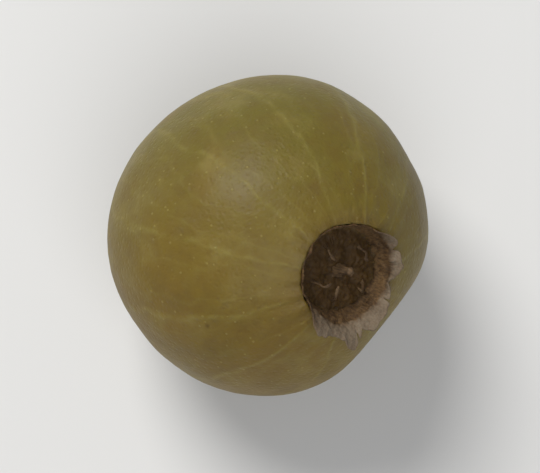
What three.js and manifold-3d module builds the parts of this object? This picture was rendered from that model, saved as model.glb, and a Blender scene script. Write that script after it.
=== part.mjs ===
// A green currant: one whole berry, picked and stripped from its bunch, lying on a small flat spot.
// Millimetres, +Z up. The origin is the centre of the flat spot that the berry rests on.
//
// Every piece is turned about the berry's own axis, which runs along +Y of the fruit group from the
// stalk (low) to the dried flower (high). The group then leans that axis over and lifts it.

import * as THREE from "three";
import { mergeVertices } from "three/addons/utils/BufferGeometryUtils.js";
import Module from "manifold-3d";

// Driving dimensions

const berryDiameter = 9.0; // across the middle, square to the axis
const lengthShare = 0.985; // length along the axis, as a share of the diameter
const eggShare = 0.018; // how much wider the stalk half is than the flower half
const breadthShare = 0.985; // the narrower way across the middle, as a share of the diameter
const restSpotRadius = 1.55; // the flat spot that the berry has settled on
const cheekDepth = 0.47; // how far one cheek is pressed in, between the flower end and the low side
const cheekSoftness = 0.3; // how gently the skin turns into that cheek
const cheekLean = 58; // degrees from the flower end to the middle of the cheek
const flowerLean = 38; // degrees from straight up to the flower end
const flowerHeading = -38; // degrees from +X, seen from above, towards which the flower end leans

const calyxWidth = 3.0; // across the mouth of the dried flower cup
const calyxWall = 0.16;
const calyxProud = 0.14; // how far the cup's edge stands above the collar of skin on its low side
const calyxProudHigh = 0.03; // the same on its high side, where the cup has worn away
const lobeRise = 0.2; // how much higher the tip of a lobe is on the low side
const lobeSpread = 0.12; // how far the lobes open outwards there, as a share of the mouth's radius
const lobeCurl = 0.06; // how far they curl inwards on the high side, as a share of the same
const lobeCount = 5; // a currant's flower has five lobes, and a stamen facing each of them

const collarRise = 0.07; // the skin swells into a low collar round the dried flower
const socketDepth = 0.46; // the sunken disc that the dried flower stands on
const styleHeight = 0.55;
const styleRadius = 0.16;
const stamenHeight = 0.42;
const stamenRadius = 0.055;

const stalkRadius = 0.34;
const stalkLength = 0.48;
const dimpleDepth = 0.26; // the hollow that the stalk comes out of
const pieceGap = 0.05; // between pieces that meet

// Worked out from those

const berryRadius = berryDiameter / 2;
const halfLength = berryRadius * lengthShare;
const calyxMouthRadius = calyxWidth / 2;
const calyxBaseRadius = calyxMouthRadius * 0.8;
const socketRadius = calyxBaseRadius + 0.1;
const collarRadius = socketRadius + 0.24;
const dimpleFloorRadius = stalkRadius + 0.1;
const dimpleMouthRadius = dimpleFloorRadius + 0.4;
const socketFloor = bodyHeight(socketRadius) - socketDepth;
const dimpleFloor = -bodyHeight(dimpleFloorRadius) + dimpleDepth;

// Height of the plain rounded body above its middle, at a distance from the axis near either end.
function bodyHeight(offAxis) {
  return halfLength * Math.sqrt(1 - (offAxis / berryRadius) ** 2);
}

// 0 below low, 1 above high, and a smooth rise between them.
function rise(value, low, high) {
  return THREE.MathUtils.smoothstep(value, low, high);
}

// Turns an outline about the axis. The outline starts and ends on the axis, or closes on itself.
function turned(outline, segments) {
  const geometry = new THREE.LatheGeometry(outline, segments);
  geometry.deleteAttribute("normal");
  geometry.deleteAttribute("uv");
  return mergeVertices(geometry, 1e-4);
}

// Moves each vertex of a geometry to where place(vertex) puts it.
function reshaped(geometry, place) {
  const positions = geometry.attributes.position;
  const vertex = new THREE.Vector3();
  for (let i = 0; i < positions.count; i++) {
    place(vertex.fromBufferAttribute(positions, i));
    positions.setXYZ(i, vertex.x, vertex.y, vertex.z);
  }
  return geometry;
}

function material(color, roughness) {
  return new THREE.MeshStandardMaterial({ color, roughness, metalness: 0 });
}

// Booleans

const wasm = await Module();
wasm.setup();

function toSolid(geometry) {
  const vertProperties = new Float32Array(geometry.attributes.position.array);
  const triVerts = new Uint32Array(geometry.index.array);
  return new wasm.Manifold(new wasm.Mesh({ numProp: 3, vertProperties, triVerts }));
}

function toGeometry(solid) {
  const { vertProperties, triVerts } = solid.getMesh();
  const geometry = new THREE.BufferGeometry();
  geometry.setAttribute("position", new THREE.BufferAttribute(vertProperties, 3));
  geometry.setIndex(new THREE.BufferAttribute(triVerts, 1));
  geometry.computeVertexNormals();
  return geometry;
}

// The fruit group: leans the axis over and lifts the berry until its flat spot is at z = 0.

const fruit = new THREE.Group();
const lean = THREE.MathUtils.degToRad(flowerLean);
const heading = THREE.MathUtils.degToRad(flowerHeading);
const flowerDirection = new THREE.Vector3(
  Math.sin(lean) * Math.cos(heading),
  Math.sin(lean) * Math.sin(heading),
  Math.cos(lean),
);
fruit.quaternion.setFromUnitVectors(new THREE.Vector3(0, 1, 0), flowerDirection);
fruit.position.z = Math.sqrt(berryRadius ** 2 - restSpotRadius ** 2);
fruit.updateMatrixWorld();

// The way round the axis that faces down, and the direction of the pressed cheek on that side.

const down = new THREE.Vector3(0, 0, -1).applyQuaternion(fruit.quaternion.clone().invert());
const lowSide = Math.atan2(down.z, down.x);
const cheekTurn = THREE.MathUtils.degToRad(cheekLean);
const cheekDirection = new THREE.Vector3(
  Math.sin(cheekTurn) * Math.cos(lowSide),
  Math.cos(cheekTurn),
  Math.sin(cheekTurn) * Math.sin(lowSide),
);

// Moves a vertex that stands out past the cheek's plane back to it. The distance d past the plane
// becomes (d - sqrt(d * d + k * k)) / 2: flat beyond the plane, and almost unchanged well inside it.
function pressed(vertex) {
  const past = vertex.dot(cheekDirection) - (berryRadius - cheekDepth);
  const after = (past - Math.hypot(past, cheekSoftness)) / 2;
  return vertex.addScaledVector(cheekDirection, after - past);
}

// Berry: a near sphere, a little wider towards the stalk, with a hollow for the stalk at one end and
// a low collar round a sunken disc at the other. What lies below z = 0 is cut away as the flat spot.

function berryOutline() {
  const steps = 46;
  const crowding = 0.68; // draws the outline's points towards both ends, where its detail is
  const points = [];
  for (let i = 0; i <= steps; i++) {
    const share = i / steps;
    const polar = Math.PI * share - (crowding / 2) * Math.sin(2 * Math.PI * share);
    const height = -Math.cos(polar);
    const offAxis = berryRadius * Math.sin(polar) * (1 - eggShare * height);
    points.push(new THREE.Vector2(offAxis, endShape(offAxis, halfLength * height)));
  }
  points[0].x = 0;
  points[steps].x = 0;
  return points;
}

// The stalk's hollow and the flower's collar and disc, laid over the plain body's height.
function endShape(offAxis, height) {
  if (height < 0) {
    return THREE.MathUtils.lerp(dimpleFloor, height, rise(offAxis, dimpleFloorRadius, dimpleMouthRadius));
  }
  const inside = rise(offAxis, socketRadius, collarRadius);
  const outside = 1 - rise(offAxis, collarRadius, collarRadius * 1.6);
  return THREE.MathUtils.lerp(socketFloor, height + collarRise * outside, inside);
}

function makeBerry() {
  const body = reshaped(turned(berryOutline(), 52).scale(1, 1, breadthShare), pressed);
  const below = new THREE.BoxGeometry(berryDiameter * 2, berryDiameter * 2, berryDiameter);
  below.deleteAttribute("normal");
  below.deleteAttribute("uv");
  below.translate(0, 0, -berryDiameter / 2);
  below.applyMatrix4(fruit.matrixWorld.clone().invert());
  const cut = toSolid(body).subtract(toSolid(mergeVertices(below)));
  return new THREE.Mesh(toGeometry(cut), material(0x8a7f45, 0.42));
}

// Dried calyx: the withered flower's open cup, a thin ring that ends in five lobes. They stand up and
// open outwards on the side of the flower end that faces down, and are worn down on the other.

function makeCalyx() {
  const base = socketFloor + pieceGap;
  const collarTop = bodyHeight(collarRadius) + collarRise;
  const mouth = collarTop + calyxProud;
  const wall = new THREE.CatmullRomCurve3([
    new THREE.Vector3(calyxBaseRadius, base, 0),
    new THREE.Vector3(calyxBaseRadius * 1.04, (base + collarTop) / 2, 0),
    new THREE.Vector3(calyxMouthRadius * 0.97, (collarTop + mouth) / 2, 0),
    new THREE.Vector3(calyxMouthRadius * 0.96, mouth, 0),
  ]);
  const outside = wall.getPoints(6).map((point) => new THREE.Vector2(point.x, point.y));
  const inside = outside.map((point) => new THREE.Vector2(point.x - calyxWall, point.y)).reverse();
  const outline = [...outside, ...inside, outside[0]];
  const cup = reshaped(turned(outline, 50), (vertex) => {
    const angle = Math.atan2(vertex.z, vertex.x) - lowSide;
    const lobe = Math.cos((lobeCount / 2) * angle) ** 2;
    const low = (1 + Math.cos(angle)) / 2;
    const above = rise(vertex.y, collarTop, mouth);
    vertex.y += (lobeRise * lobe * low - (calyxProud - calyxProudHigh) * (1 - low)) * above;
    const opened = 1 + (lobeSpread * low - lobeCurl * (1 - low)) * above ** 2;
    vertex.x *= opened;
    vertex.z *= opened;
    pressed(vertex);
  });
  cup.computeVertexNormals();
  return new THREE.Mesh(cup, material(0x3d2e1a, 0.85));
}

// Dried style: the stub of the flower's pistil, in the middle of the cup.

function makeStyle() {
  const foot = socketFloor + pieceGap;
  const outline = [
    new THREE.Vector2(0, foot),
    new THREE.Vector2(styleRadius * 1.5, foot),
    new THREE.Vector2(styleRadius, foot + styleHeight * 0.25),
    new THREE.Vector2(styleRadius * 0.8, foot + styleHeight * 0.7),
    new THREE.Vector2(styleRadius * 1.05, foot + styleHeight * 0.9),
    new THREE.Vector2(styleRadius * 0.6, foot + styleHeight),
    new THREE.Vector2(0, foot + styleHeight),
  ];
  const style = turned(outline, 12);
  style.computeVertexNormals();
  return new THREE.Mesh(style, material(0x6b5433, 0.8));
}

// Dried stamens: five short filaments near the cup's wall, bent towards the style at the tip.

function makeStamen(index) {
  const foot = socketFloor + pieceGap;
  const stand = calyxBaseRadius - calyxWall - 3.2 * stamenRadius;
  const path = new THREE.CatmullRomCurve3([
    new THREE.Vector3(stand, foot, 0),
    new THREE.Vector3(stand * 1.04, foot + stamenHeight * 0.5, 0),
    new THREE.Vector3(stand * 0.96, foot + stamenHeight * 0.85, 0),
    new THREE.Vector3(stand * 0.74, foot + stamenHeight, 0),
  ]);
  const section = new THREE.Shape().absarc(0, 0, stamenRadius, 0, 2 * Math.PI);
  const options = { extrudePath: path, steps: 6, curveSegments: 4, bevelEnabled: false };
  const stamen = new THREE.Mesh(new THREE.ExtrudeGeometry(section, options), material(0x5a4426, 0.85));
  stamen.rotation.y = (2 * Math.PI * index) / lobeCount;
  return stamen;
}

// Stalk stub: what is left of the stalk where the berry was stripped from its bunch.

function makeStalk() {
  const foot = dimpleFloor - pieceGap;
  const outline = [
    new THREE.Vector2(0, foot - stalkLength),
    new THREE.Vector2(stalkRadius * 0.75, foot - stalkLength),
    new THREE.Vector2(stalkRadius * 0.9, foot - stalkLength * 0.9),
    new THREE.Vector2(stalkRadius * 0.85, foot - stalkLength * 0.45),
    new THREE.Vector2(stalkRadius, foot),
    new THREE.Vector2(0, foot),
  ];
  const stalk = turned(outline, 20);
  stalk.computeVertexNormals();
  return new THREE.Mesh(stalk, material(0x59472a, 0.8));
}

const makers = {
  berry: makeBerry,
  dried_calyx: makeCalyx,
  dried_style: makeStyle,
  stalk_stub: makeStalk,
};
for (let index = 0; index < lobeCount; index++) {
  makers[`dried_stamen_${index + 1}`] = () => makeStamen(index);
}
for (const [name, make] of Object.entries(makers)) {
  const mesh = make();
  mesh.name = name;
  fruit.add(mesh);
}

const group = new THREE.Group();
group.name = "green_currant";
group.add(fruit);

export default group;
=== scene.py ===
import math

import bpy
import numpy as np
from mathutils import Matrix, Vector


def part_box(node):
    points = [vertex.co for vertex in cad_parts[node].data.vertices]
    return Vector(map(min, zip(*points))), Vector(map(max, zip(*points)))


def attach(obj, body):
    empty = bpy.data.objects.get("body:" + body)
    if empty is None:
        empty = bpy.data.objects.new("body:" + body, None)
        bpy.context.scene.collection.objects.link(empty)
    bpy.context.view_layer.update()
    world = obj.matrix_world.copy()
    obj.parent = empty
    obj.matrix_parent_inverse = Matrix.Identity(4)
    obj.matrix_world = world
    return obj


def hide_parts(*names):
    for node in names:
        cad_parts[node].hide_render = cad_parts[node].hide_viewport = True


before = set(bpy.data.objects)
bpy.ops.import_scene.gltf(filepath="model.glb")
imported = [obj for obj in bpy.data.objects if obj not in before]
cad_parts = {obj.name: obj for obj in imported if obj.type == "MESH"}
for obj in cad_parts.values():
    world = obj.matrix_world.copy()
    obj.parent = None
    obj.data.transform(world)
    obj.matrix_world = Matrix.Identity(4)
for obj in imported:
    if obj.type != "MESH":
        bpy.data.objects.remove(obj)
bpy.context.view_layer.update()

# The berry's own frame, from the CAD nodes. The model's origin is straight below its centre. Shapes
# are worked out in millimetres in this frame: the first two numbers lie across the berry, and the
# third runs along its axis from the stalk end to the flower end.


def middleOf(node):
    low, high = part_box(node)
    return (low + high) / 2


mm = 0.001
berryLow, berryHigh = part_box("berry")
lengthShare = 0.985  # the berry's length along its axis, as a share of its width
radius = -berryLow.x / mm  # half its width, on the side away from the pressed cheek
axis = (middleOf("dried_style") - middleOf("stalk_stub")).normalized()
centre = Vector((0, 0, berryHigh.z - radius * lengthShare * mm))
turn = axis.to_track_quat("Z", "Y").to_matrix()
lowest = turn.transposed() @ Vector((0, 0, -1))
lowSide = math.degrees(math.atan2(lowest.y, lowest.x))  # the way round the axis that faces down
print("berry radius", round(radius, 3), "mm, flower end towards", [round(part, 3) for part in axis])


# From the berry's own frame in millimetres to the frame of the model in metres.
def toModel(points):
    return points @ np.array(turn).T * mm + np.array(centre)


# 0 below low, 1 above high, and the cubic 3t^2 - 2t^3 between them.
def rise(value, low, high):
    share = np.clip((value - low) / (high - low), 0, 1)
    return share * share * (3 - 2 * share)


# The mean of two values weighted by share: first where it is 0, second where it is 1.
def blendOf(first, second, share):
    return first + (second - first) * share


# 1 at a place, dying away on both sides of it: exp(-((value - place) / width)^2).
def hump(value, place, width):
    return np.exp(-(((value - place) / width) ** 2))


# 1 along a rod and 0 at its far end, where it rounds off: sqrt(1.0001 - share^sharpness).
def roundedOff(share, sharpness):
    return np.sqrt(np.clip(1.0001 - share**sharpness, 0, 1))


# A rolling unevenness with a spread of about 1: the sum of cosines of plane waves in random
# directions, whose wavelengths lie round the given one.
def unevenness(points, wavelength, seed, count=48):
    random = np.random.default_rng(seed)
    directions = random.normal(size=(3, count))
    directions /= np.linalg.norm(directions, axis=0)
    waves = directions * 2 * np.pi / (wavelength * random.uniform(0.7, 1.4, count))
    phases = random.uniform(0, 2 * np.pi, count)
    return np.cos(points @ waves + phases).sum(-1) * math.sqrt(2 / count)


# Makes a piece from rows of points. Each row closes on itself. With ends, a point closes the first
# row and another the last; without them the last row joins the first, as on a ring.
def makePiece(name, rows, ends, finish, nodes):
    rowCount, columnCount = rows.shape[:2]
    column = np.arange(columnCount)
    following = (column + 1) % columnCount
    lower = np.arange(rowCount - 1 if ends is not None else rowCount)[:, None] * columnCount
    upper = (lower + columnCount) % (rowCount * columnCount)
    corners = [lower + column, lower + following, upper + following, upper + column]
    faces = np.stack(corners, -1).reshape(-1, 4).tolist()
    points = rows.reshape(-1, 3)
    if ends is not None:
        first, last = len(points), len(points) + 1
        top = (rowCount - 1) * columnCount
        points = np.concatenate([points, np.array(ends).reshape(2, 3)])
        faces += np.stack([following, column, np.full(columnCount, first)], -1).tolist()
        faces += np.stack([top + column, top + following, np.full(columnCount, last)], -1).tolist()
    mesh = bpy.data.meshes.new(name)
    mesh.from_pydata(toModel(points).tolist(), [], faces)
    mesh.polygons.foreach_set("use_smooth", np.ones(len(mesh.polygons), bool))
    mesh.materials.append(finish)
    piece = bpy.data.objects.new(name, mesh)
    bpy.context.scene.collection.objects.link(piece)
    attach(piece, "root")
    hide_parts(*nodes)
    print("made", name, "with", len(mesh.polygons), "faces")


# Rings round a path: each ring stands square to the path at one of its points, and reach gives the
# distance from the path for each point and each angle.
def ringsAlong(path, reach):
    along = np.gradient(path, axis=0)
    along /= np.linalg.norm(along, axis=1, keepdims=True)
    aside = np.cross(along, [0.0, 1.0, 0.02])
    aside /= np.linalg.norm(aside, axis=1, keepdims=True)
    across = np.cross(along, aside)
    angle = np.linspace(0, 2 * np.pi, reach.shape[1], endpoint=False)[:, None]
    ring = np.cos(angle) * aside[:, None] + np.sin(angle) * across[:, None]
    return path[:, None] + ring * reach[..., None]


# A value on its way through a material. Arithmetic on it adds Math nodes.
class Flow:
    def __init__(self, finish, socket):
        self.finish = finish
        self.socket = socket

    def __add__(self, other):
        return self.finish.math("ADD", self, other)

    def __sub__(self, other):
        return self.finish.math("SUBTRACT", self, other)

    def __rsub__(self, other):
        return self.finish.math("SUBTRACT", other, self)

    def __mul__(self, other):
        return self.finish.math("MULTIPLY", self, other)

    def __pow__(self, other):
        return self.finish.math("POWER", self, other)


# One material and the nodes in it.
class Finish:
    def __init__(self, name):
        self.material = bpy.data.materials.new(name)
        self.material.use_nodes = True
        self.tree = self.material.node_tree
        self.tree.nodes.clear()

    # Adds a node: its settings are set first, then its sockets are given values or links.
    def node(self, kind, settings, inputs, output=0):
        made = self.tree.nodes.new("ShaderNode" + kind)
        for key, value in settings.items():
            setattr(made, key, value)
        for key, value in inputs.items():
            if isinstance(value, Flow):
                self.tree.links.new(value.socket, made.inputs[key])
            else:
                made.inputs[key].default_value = value
        return Flow(self, made.outputs[output])

    def math(self, operation, *values):
        return self.node("Math", {"operation": operation}, dict(enumerate(values)))

    # 0 below low, 1 above high, and a smooth rise between them.
    def rise(self, value, low, high):
        inputs = {"Value": value, "From Min": low, "From Max": high}
        return self.node("MapRange", {"interpolation_type": "SMOOTHSTEP"}, inputs)

    # The first colour where share is 0 and the second where it is 1.
    def mix(self, share, first, second):
        inputs = {0: share, 6: first, 7: second}
        return self.node("Mix", {"data_type": "RGBA"}, inputs, 2)

    def noise(self, place, scale, detail=3.0, roughness=0.5):
        inputs = {"Vector": place, "Scale": scale, "Detail": detail, "Roughness": roughness}
        return self.node("TexNoise", {}, inputs)

    # The distance to the nearest of many scattered points.
    def cells(self, place, scale):
        return self.node("TexVoronoi", {}, {"Vector": place, "Scale": scale})

    # Place in the berry's own frame, counted in berry radii, or in other lengths across and along.
    def ownPlace(self, across=None, along=None):
        coordinates = self.node("TexCoord", {}, {}, "Object")
        scale = ((across or radius) * mm, (across or radius) * mm, (along or radius) * mm)
        inputs = {
            "Vector": coordinates,
            "Location": centre,
            "Rotation": turn.to_euler(),
            "Scale": scale,
        }
        return self.node("Mapping", {"vector_type": "TEXTURE"}, inputs)

    # How far a place lies towards a direction given in the model's frame.
    def facing(self, place, direction):
        own = turn.transposed() @ direction
        return self.node("VectorMath", {"operation": "DOT_PRODUCT"}, {0: place, 1: own}, "Value")

    def split(self, place):
        return [self.node("SeparateXYZ", {}, {"Vector": place}, part) for part in range(3)]

    def bump(self, height, distance):
        return self.node("Bump", {}, {"Height": height, "Distance": distance, "Strength": 1.0})

    # Ends the material in one shader.
    def surface(self, inputs):
        shader = self.node("BsdfPrincipled", {}, inputs)
        output = self.tree.nodes.new("ShaderNodeOutputMaterial")
        self.tree.links.new(shader.socket, output.inputs["Surface"])
        return self.material


def colour(red, green, blue):
    return (red, green, blue, 1.0)


berryShape = {
    "rows": 236,
    "columns": 400,
    "crowding": 0.72,  # draws the rows towards both ends, where the detail is
    "eggShare": 0.018,
    "breadthShare": 0.985,
    "lumps": 0.035,
    "dents": 0.008,
    "grain": 0.0016,
    "socketRadius": 1.24,
    "socketDepth": 0.46,
    "crumples": 0.025,  # of the socket's floor
    "fineCrumples": 0.012,
    "collarRadius": 1.44,
    "collarRise": 0.08,
    "collarPleats": 0.018,
    "collarSways": (0.03, 0.02),  # how far the collar goes in and out, three and five times round
    "dimpleFloor": 0.42,  # radius of the stalk dimple's floor
    "dimpleMouth": 0.95,  # and of its mouth
    "dimpleDepth": 0.26,
    "dimpleCreases": 0.02,
    "dimpleCrumples": 0.012,
    "settling": 0.05,  # how softly the skin turns into the flat spot
    "cheekDepth": 0.47,  # how far one cheek is pressed in, beside the flower end
    "cheekSoftness": 0.3,
    "cheekLean": 58,  # degrees from the flower end to the middle of the cheek
}


# Height of the plain rounded body above its middle, at a distance from the axis near an end.
def bodyHeight(offAxis):
    return radius * lengthShare * np.sqrt(1 - (offAxis / radius) ** 2)


socketFloor = bodyHeight(berryShape["socketRadius"]) - berryShape["socketDepth"]
collarTop = bodyHeight(berryShape["collarRadius"]) + berryShape["collarRise"]


# The collar's distance from the axis, which goes slowly in and out round the flower end.
def collarEdge(angle):
    wide, narrow = berryShape["collarSways"]
    return berryShape["collarRadius"] + wide * np.cos(3 * angle + 1.0) + narrow * np.cos(5 * angle)


# Moves points outwards from the middle by broad lumps, and presses in one cheek on the low side: a
# distance d past the cheek's plane becomes (d - sqrt(d^2 + k^2)) / 2.
def grown(points):
    shape = berryShape
    outward = points / np.linalg.norm(points, axis=-1, keepdims=True)
    points = points + outward * (shape["lumps"] * unevenness(points, 7.0, 11))[..., None]
    lean, side = math.radians(shape["cheekLean"]), math.radians(lowSide)
    cheek = np.array([math.sin(lean) * math.cos(side), math.sin(lean) * math.sin(side), math.cos(lean)])
    past = points @ cheek - (radius - shape["cheekDepth"])
    after = (past - np.hypot(past, shape["cheekSoftness"])) / 2
    return points + (after - past)[..., None] * cheek


# The sphere's height at each distance from the axis, lowered to a crumpled disc inside the socket
# and swollen into a collar round it, with pleats that run out from the collar and die away.
def flowerEnd(offAxis, height, angle, own):
    shape = berryShape
    collar = collarEdge(angle)
    inside = rise(offAxis, shape["socketRadius"], collar)
    outside = 1 - rise(offAxis, collar, collar * 1.9)
    wobble = 1.5 * unevenness(own, 2.5, 21)
    pleats = 0.6 * np.cos(17 * angle + wobble) + 0.4 * np.cos(29 * angle - 1.6 * wobble)
    swollen = height + outside * (shape["collarRise"] + shape["collarPleats"] * pleats)
    crumples = shape["crumples"] * unevenness(own, 0.5, 22)
    crumples += shape["fineCrumples"] * unevenness(own, 0.16, 23)
    return blendOf(socketFloor + crumples, swollen, inside)


# The sphere's height raised to the dimple's floor near the axis, with a few soft creases.
def stalkEnd(offAxis, height, angle, own):
    shape = berryShape
    creases = shape["dimpleCreases"] * np.cos(9 * angle + 1.2 * unevenness(own, 2.0, 31))
    outside = rise(offAxis, shape["dimpleFloor"], shape["dimpleMouth"])
    crumples = shape["dimpleCrumples"] * unevenness(own, 0.25, 32)
    floor = -bodyHeight(shape["dimpleFloor"]) + shape["dimpleDepth"] + crumples
    fading = 1 - rise(offAxis, shape["dimpleMouth"], shape["dimpleMouth"] * 2)
    return blendOf(floor, height + creases * fading, outside)


# A sphere stretched into a slight egg, with its two ends shaped, broad lumps and shallow dents
# pushed along the line from the middle, and everything below the ground pressed softly flat.
def makeBerry(finish):
    shape = berryShape
    share = np.linspace(0, 1, shape["rows"])[:, None]
    angle = np.linspace(0, 2 * np.pi, shape["columns"], endpoint=False)[None]
    polar = np.pi * share - shape["crowding"] / 2 * np.sin(2 * np.pi * share)
    upward = -np.cos(polar) + 0 * angle
    offAxis = radius * np.sin(polar) * (1 - shape["eggShare"] * upward)
    height = radius * lengthShare * upward
    across = offAxis * np.cos(angle)
    aside = offAxis * np.sin(angle) * shape["breadthShare"]
    own = np.stack([across, aside, height], -1)
    shaped = np.where(
        upward > 0,
        flowerEnd(offAxis, height, angle, own),
        stalkEnd(offAxis, height, angle, own),
    )
    points = np.stack([across, aside, shaped], -1)
    outward = own / np.linalg.norm(own, axis=-1, keepdims=True)
    body = rise(offAxis, shape["collarRadius"] * 0.8, shape["collarRadius"] * 1.8)
    push = (shape["dents"] * unevenness(own, 1.6, 12) + shape["grain"] * unevenness(own, 0.35, 13)) * body
    points = settle(grown(points + outward * push[..., None]))
    makePiece("berry_skin", points[1:-1], [points[0, 0], points[-1, 0]], finish, ["berry"])


# Height above the ground h becomes (h + sqrt(h^2 + k^2)) / 2, which is flat below and h above.
def settle(points):
    up = np.array(turn).T @ np.array([0.0, 0.0, 1.0])
    ground = centre.z / mm
    above = points @ up + ground
    pressed = (above + np.sqrt(above**2 + berryShape["settling"] ** 2)) / 2
    return points + (pressed - above)[..., None] * up


skinColours = {
    "olive": colour(0.166, 0.121, 0.020),
    "green": colour(0.138, 0.117, 0.019),
    "ochre": colour(0.185, 0.114, 0.019),
    "pale": colour(0.234, 0.187, 0.050),
    "bloom": colour(0.252, 0.225, 0.099),
    "vein": colour(0.288, 0.252, 0.068),
    "speck": colour(0.342, 0.288, 0.090),
    "scar": colour(0.061, 0.032, 0.009),
    "stain": colour(0.114, 0.068, 0.017),
}

# Where the skin is warmer and where it is greener, as directions in the model's frame.
warmSide = Vector((-0.3, -0.9, 0.3)).normalized()
greenSide = Vector((-0.1, 0.8, 0.6)).normalized()


# Olive skin that is greener on one side and warmer on the other, with clouds, mottling, a thin bloom,
# wandering veins from end to end, pale specks and dark blemishes, and brown stains at both ends. The
# veins are a cosine of the angle round the axis, raised to a high power so that they are thin.
def skinFinish():
    finish = Finish("currant skin")
    own = finish.ownPlace()
    x, y, z = finish.split(own)
    offAxis = (x * x + y * y) ** 0.5
    angle = finish.math("ARCTAN2", y, x)
    patches = finish.noise(own, 1.7, 4.0, 0.6)
    mottle = finish.noise(own, 9.0, 5.0, 0.65)
    wander = finish.noise(own, 2.0, 2.0)
    ripple = finish.noise(own, 9.0, 2.0)
    drift = wander * 3.0 + ripple * 0.7
    veins = (finish.math("COSINE", angle * 11.0 + drift) * 0.5 + 0.5) ** 60.0
    twigs = (finish.math("COSINE", angle * 23.0 - drift * 4.0) * 0.5 + 0.5) ** 30.0
    veins = (veins + twigs * 0.4) * finish.rise(mottle, 0.3, 0.65)
    specks = 1 - finish.rise(finish.cells(own, 15.0), 0.07, 0.15)

    clouds = finish.noise(own, 3.6, 4.0, 0.62)
    warmth = finish.rise(finish.facing(own, warmSide) * 0.3 + patches, 0.42, 0.95)
    greenness = finish.rise(finish.facing(own, greenSide) * 0.35 + patches, 0.45, 0.95)
    skin = finish.mix(greenness * 0.9, skinColours["olive"], skinColours["green"])
    skin = finish.mix(warmth * 0.8, skin, skinColours["ochre"])
    skin = finish.mix(finish.rise(clouds, 0.5, 0.72) * 0.5, skin, skinColours["pale"])
    skin = finish.mix(finish.rise(1 - clouds, 0.5, 0.72) * 0.35, skin, skinColours["stain"])
    skin = finish.mix(finish.rise(mottle, 0.35, 0.75) * 0.3, skin, skinColours["stain"])
    film = finish.noise(own, 2.6, 6.0, 0.72)
    skin = finish.mix(finish.rise(film, 0.46, 0.68) * 0.12, skin, skinColours["bloom"])
    skin = finish.mix(veins * 0.34, skin, skinColours["vein"])
    skin = finish.mix(specks * 0.35, skin, skinColours["speck"])

    blemishes = 1 - finish.rise(finish.cells(own, 2.6) + mottle * 0.04, 0.03, 0.085)
    skin = finish.mix(blemishes * 0.6, skin, skinColours["scar"])

    flowerSide = finish.rise(z, 0.0, 0.2)
    collar = berryShape["collarRadius"] / radius
    stain = (1 - finish.rise(offAxis + wander * 0.12, collar * 0.95, collar * 1.6)) * flowerSide
    skin = finish.mix(stain * 0.75, skin, skinColours["stain"])
    scar = (1 - finish.rise(offAxis, collar * 0.74, collar * 0.88)) * flowerSide
    skin = finish.mix(scar, skin, skinColours["scar"])
    dimple = berryShape["dimpleMouth"] / radius
    stalkSide = 1 - finish.rise(z, -0.2, 0.0)
    stub = (1 - finish.rise(offAxis + wander * 0.1, dimple * 0.6, dimple * 1.3)) * stalkSide
    skin = finish.mix(stub * 0.8, skin, skinColours["stain"])

    grain = finish.noise(own, 62.0, 2.0)
    pores = finish.rise(finish.cells(own, 30.0), 0.0, 0.55)
    relief = finish.bump(grain * 0.5 + pores * 0.5 + specks * 0.6 + veins * 0.5 + mottle, 0.02 * mm)
    return finish.surface(
        {
            "Base Color": skin,
            "Roughness": finish.noise(own, 5.0, 4.0) * 0.2 + scar * 0.3 + 0.38,
            "IOR": 1.38,
            "Specular IOR Level": 0.27,
            "Subsurface Weight": 0.6,
            "Subsurface Radius": (1.0, 0.7, 0.15),
            "Subsurface Scale": 0.9 * mm,
            "Coat Weight": 0.06,
            "Coat Roughness": 0.28,
            "Normal": relief,
        }
    )


cupShape = {
    "columns": 440,
    "wallRows": 44,
    "baseRadius": 1.22,
    "throatGap": 0.05,  # between the wall's outside and the collar's edge
    "wall": 0.07,
    "proud": -0.05,  # the lowest torn edge, above the collar
    "lobes": [  # degrees round from the low side, degrees wide, height and outward lean in millimetres
        (-12, 80, 0.38, 0.38),
        (62, 72, 0.30, 0.22),
        (137, 74, 0.07, -0.10),
        (212, 72, 0.04, -0.14),
        (288, 80, 0.38, 0.38),
    ],
    "sunk": 0.03,  # how far the foot stands in the socket's floor
    "leanStart": 0.02,  # the height above the collar where the lobes begin to lean
    "leanHeight": 0.28,  # the height that they take to reach their full lean
    "buckling": 0.05,
    "creasing": 0.012,
    "tearing": 0.022,
    "ripping": 0.16,
    "ripWidth": 0.12,
}


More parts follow.
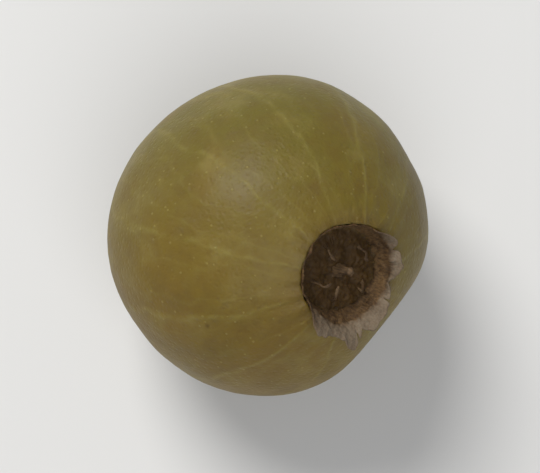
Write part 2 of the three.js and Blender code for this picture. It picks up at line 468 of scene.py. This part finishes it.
# A wall that rises from a ring, follows the collar's edge and ends in torn lobes that lean out or
# in. Each lobe is a rounded hump of height round the cup, with a ragged edge, and rips where a slow
# unevenness passes through 0. The lean grows with the height above the collar to the power 1.3, and
# the wall buckles and folds as it rises.
def makeCup(finish):
    shape = cupShape
    angle = np.linspace(0, 2 * np.pi, shape["columns"], endpoint=False)[None]
    share = np.linspace(0, 1, shape["wallRows"])[:, None]
    ringPlace = np.stack([np.cos(angle), np.sin(angle), 0 * angle], -1)
    top = np.zeros_like(angle)
    lean = np.zeros_like(angle)
    for place, width, rising, outward in shape["lobes"]:
        apart = np.abs((np.degrees(angle) - lowSide - place + 180) % 360 - 180) / (width / 2)
        lobe = np.clip(1 - apart**2.4, 0, 1) ** 0.7
        top += rising * lobe
        lean += outward * lobe
    torn = 1.5 * unevenness(ringPlace, 0.45, 41) + 0.45 * unevenness(ringPlace, 0.11, 42)
    rips = hump(unevenness(ringPlace, 0.9, 45), 0, shape["ripWidth"])
    base = socketFloor - shape["sunk"]
    ragged = shape["tearing"] * torn - shape["ripping"] * rips * (top > 0.1)
    edge = collarTop + shape["proud"] + top + ragged
    height = blendOf(base, edge, share)
    above = np.clip((height - collarTop - shape["leanStart"]) / shape["leanHeight"], 0, 1.3)
    mouth = collarEdge(angle) - shape["throatGap"]
    throat = blendOf(shape["baseRadius"], mouth, rise(height, base, collarTop))
    reach = throat + lean * above**1.3
    swell = unevenness(ringPlace, 0.8, 43) * rise(share, 0.35, 1.0)
    folds = unevenness(ringPlace, 0.2, 46) * rise(share, 0.1, 0.7)
    reach = reach + shape["buckling"] * swell * above + shape["creasing"] * folds
    thin = shape["wall"] * (1 - 0.6 * share)
    outer = np.stack([reach * np.cos(angle), reach * np.sin(angle), height], -1)
    inward = reach - thin - 0.2 * shape["wall"] * unevenness(outer, 0.2, 44)
    inner = np.stack([inward * np.cos(angle), inward * np.sin(angle), height + 0.6 * thin * above], -1)
    rows = grown(np.concatenate([outer, inner[::-1]]))
    makePiece("dried_calyx_cup", rows, None, finish, ["dried_calyx"])


styleShape = {
    "rows": 60,
    "columns": 36,
    "radius": 0.15,
    "height": 0.56,
    "lean": 0.12,
    "sunk": 0.05,  # how far the foot stands in the socket's floor
}
stamenShape = {
    "rows": 44,
    "columns": 18,
    "radius": 0.05,
    "height": 0.44,
    "standing": 0.84,  # distance from the axis
    "kinks": 0.05,
    "sunk": 0.04,
    "count": 5,
}
stalkShape = {"rows": 60, "columns": 72, "radius": 0.33, "length": 0.52, "sunk": 0.05}


# Closes a row of rings with the path's own ends and makes the piece.
def makeRod(name, path, reach, finish, node):
    rows = ringsAlong(path, reach)
    makePiece(name, rows, [path[0], path[-1]], finish, [node])


# A post that tapers from a wide foot, swells again at its top and leans a little to one side.
def makeStyle(finish):
    shape = styleShape
    share = np.linspace(0, 1, shape["rows"])
    sway = shape["lean"] * share**2
    height = socketFloor - shape["sunk"] + (shape["height"] + shape["sunk"]) * share
    path = np.stack([sway, 0.03 * np.sin(5 * share), height], -1)
    taper = 0.62 + 0.9 * np.exp(-share / 0.16) + 0.22 * hump(share, 0.88, 0.1)
    taper *= roundedOff(share, 14)
    angle = np.linspace(0, 2 * np.pi, shape["columns"], endpoint=False)[None]
    furrows = 1 + 0.12 * np.cos(5 * angle + 3 * share[:, None]) + 0.06 * np.cos(9 * angle)
    reach = shape["radius"] * taper[:, None] * furrows
    makeRod("dried_style_stub", path, reach, finish, "dried_style")


# A thin thread that rises beside the wall, bends inwards at the top and swells a little at its end.
def makeStamen(index, finish):
    shape = stamenShape
    random = np.random.default_rng(60 + index)
    tall, bend, sway, head = random.uniform([0.6, 0.3, -0.5, 0.0], [1.15, 1.2, 0.5, 0.7])
    share = np.linspace(0, 1, shape["rows"])
    spot = 2 * np.pi * (index + 0.12 * sway) / shape["count"]
    away = shape["standing"] - 0.34 * bend * share**2.2
    away += shape["kinks"] * np.sin(9 * share + 6 * head) * share
    around = spot + sway * share + shape["kinks"] * np.sin(7 * share + 9 * bend) * share
    climb = np.sin(1.75 * share) / np.sin(1.75) * share**0.1
    height = socketFloor - shape["sunk"] + shape["height"] * tall * climb
    path = np.stack([away * np.cos(around), away * np.sin(around), height], -1)
    thick = 0.5 + 0.7 * np.exp(-share / 0.16) + head * hump(share, 0.86, 0.12)
    thick *= roundedOff(share, 16)
    angle = np.linspace(0, 2 * np.pi, shape["columns"], endpoint=False)[None]
    reach = shape["radius"] * thick[:, None] * (1 + 0.2 * np.cos(2 * angle + 4 * share[:, None]))
    name = f"dried_stamen_thread_{index + 1}"
    makeRod(name, path, reach, finish, f"dried_stamen_{index + 1}")


# A short ribbed rod that points away from the berry, flared where it joins and rounded off at its end.
def makeStalk(finish):
    shape = stalkShape
    share = np.linspace(0, 1, shape["rows"])
    foot = -bodyHeight(berryShape["dimpleFloor"]) + berryShape["dimpleDepth"] + shape["sunk"]
    path = np.stack([0.03 * share, 0 * share, foot - (shape["length"] + shape["sunk"]) * share], -1)
    taper = 0.86 + 0.35 * np.exp(-share / 0.15) + 0.08 * rise(share, 0.7, 0.92)
    taper *= roundedOff(share, 18)
    angle = np.linspace(0, 2 * np.pi, shape["columns"], endpoint=False)[None]
    ribs = 1 + 0.05 * np.cos(8 * angle + share[:, None]) + 0.03 * np.cos(19 * angle)
    makeRod("stalk_stub_end", path, shape["radius"] * taper[:, None] * ribs, finish, "stalk_stub")


driedColours = {
    "cupDark": colour(0.042, 0.021, 0.007),
    "cupLight": colour(0.125, 0.069, 0.023),
    # painted highlight: the pale colour laid on the torn rim's low side, where it catches the light
    "rimHighlight": colour(0.180, 0.140, 0.094),
    "threadDark": colour(0.040, 0.022, 0.009),
    "threadLight": colour(0.140, 0.085, 0.038),
    "stalkDark": colour(0.060, 0.040, 0.016),
    "stalkLight": colour(0.200, 0.160, 0.070),
}


# Brown tissue with fibres that run along the berry's axis. With a rim highlight colour, it is painted in
# that
# colour above the collar on the low side: a painted highlight where the torn rim catches the light.
def driedFinish(name, dark, light, roughness, rimHighlight=None):
    finish = Finish(name)
    fibres = finish.noise(finish.ownPlace(across=0.05, along=0.5), 1.0, 4.0, 0.6)
    blotches = finish.noise(finish.ownPlace(across=0.45, along=0.45), 1.0, 3.0)
    tone = finish.rise(fibres * 0.6 + blotches * 0.4, 0.36, 0.66)
    brown = finish.mix(tone, driedColours[dark], driedColours[light])
    if rimHighlight is not None:
        x, y, z = finish.split(finish.ownPlace(1.0, 1.0))
        low = x * math.cos(math.radians(lowSide)) + y * math.sin(math.radians(lowSide))
        height = z + (blotches - 0.5) * 0.25
        # painted highlight: the rim is painted paler above the collar on its low side, where the light
        # catches it
        paintedHighlight = finish.rise(height, collarTop - 0.1, collarTop + 0.12) * finish.rise(low, -0.5, 0.5)
        brown = finish.mix(paintedHighlight * (tone * 0.45 + 0.55), brown, driedColours[rimHighlight])
    return finish.surface(
        {
            "Base Color": brown,
            "Roughness": roughness - fibres * 0.15,
            "IOR": 1.4,
            "Subsurface Weight": 0.1,
            "Subsurface Radius": (1.0, 0.5, 0.25),
            "Subsurface Scale": 0.1 * mm,
            "Normal": finish.bump(fibres, 0.03 * mm),
        }
    )


stageSetup = {
    "floorReach": 1.2,
    "floorDrop": 0.00001,  # keeps the floor just clear of the flat spot
    "floorColour": colour(0.65, 0.65, 0.64),
    "floorStain": colour(0.59, 0.59, 0.57),
    "world": colour(0.93, 0.95, 1.0),
    "worldStrength": 0.22,
    "elevation": 80.0,  # degrees above the floor that the camera looks down from
    "lens": 180.0,
    "nearest": 0.002,  # the range of distances that the camera sees
    "farthest": 20.0,
    "berryShareOfHeight": 0.68,
    "widthOverHeight": 1.1416,  # of the picture
}


# A plain pale square, very slightly mottled.
def makeFloor():
    finish = Finish("floor")
    tint = finish.noise(finish.node("TexCoord", {}, {}, "Object"), 3.0, 2.0)
    pale = finish.mix(tint * 0.05, stageSetup["floorColour"], stageSetup["floorStain"])
    reach, level = stageSetup["floorReach"], -stageSetup["floorDrop"]
    square = [(-reach, -reach), (reach, -reach), (reach, reach), (-reach, reach)]
    corners = [(x, y, level) for x, y in square]
    mesh = bpy.data.meshes.new("floor")
    mesh.from_pydata(corners, [], [(0, 1, 2, 3)])
    mesh.materials.append(finish.surface({"Base Color": pale, "Roughness": 0.75}))
    floor = bpy.data.objects.new("floor", mesh)
    bpy.context.scene.collection.objects.link(floor)


# A round soft light aimed at the berry. Distance and size are in metres, and power is in watts.
def makeLight(name, direction, distance, size, power, tint):
    lamp = bpy.data.lights.new(name, "AREA")
    lamp.shape = "DISK"
    lamp.size = size
    lamp.energy = power
    lamp.color = tint
    light = bpy.data.objects.new(name, lamp)
    away = Vector(direction).normalized()
    light.location = centre + away * distance
    light.rotation_euler = away.to_track_quat("Z", "Y").to_euler()
    bpy.context.scene.collection.objects.link(light)


# An even pale surround.
def makeWorld():
    world = bpy.data.worlds.new("studio")
    world.use_nodes = True
    background = world.node_tree.nodes["Background"]
    background.inputs["Color"].default_value = stageSetup["world"]
    background.inputs["Strength"].default_value = stageSetup["worldStrength"]
    bpy.context.scene.world = world


# Looks at the berry's centre from a distance at which the berry fills its share of the picture's
# height: distance = seen width * lens / sensor width.
def makeCamera():
    data = bpy.data.cameras.new("camera")
    data.lens = stageSetup["lens"]
    data.clip_start = stageSetup["nearest"]
    data.clip_end = stageSetup["farthest"]
    camera = bpy.data.objects.new("camera", data)
    seenHeight = 2 * radius * mm / stageSetup["berryShareOfHeight"]
    seenWidth = seenHeight * stageSetup["widthOverHeight"]
    distance = seenWidth * data.lens / data.sensor_width
    slope = math.radians(stageSetup["elevation"])
    away = Vector((0, -math.cos(slope), math.sin(slope)))
    camera.location = centre + away * distance
    camera.rotation_euler = (math.pi / 2 - slope, 0, 0)
    bpy.context.scene.collection.objects.link(camera)
    bpy.context.scene.camera = camera


makeCamera()
makeWorld()
makeFloor()
makeLight("key", (-0.46, 0.7, 1.12), 0.20, 0.11, 0.35, (1.0, 0.985, 0.96))
makeLight("fill", (0.15, -1.0, 1.4), 0.25, 0.24, 0.32, (0.99, 0.99, 1.0))
bpy.context.scene.view_settings.view_transform = "Standard"
print("stage ready")

makeBerry(skinFinish())
makeCup(driedFinish("dried flower", "cupDark", "cupLight", 0.85, "rimHighlight"))
threadFinish = driedFinish("dried threads", "threadDark", "threadLight", 0.8)
makeStyle(threadFinish)
for index in range(stamenShape["count"]):
    makeStamen(index, threadFinish)
makeStalk(driedFinish("stalk", "stalkDark", "stalkLight", 0.8))
print("pieces ready")
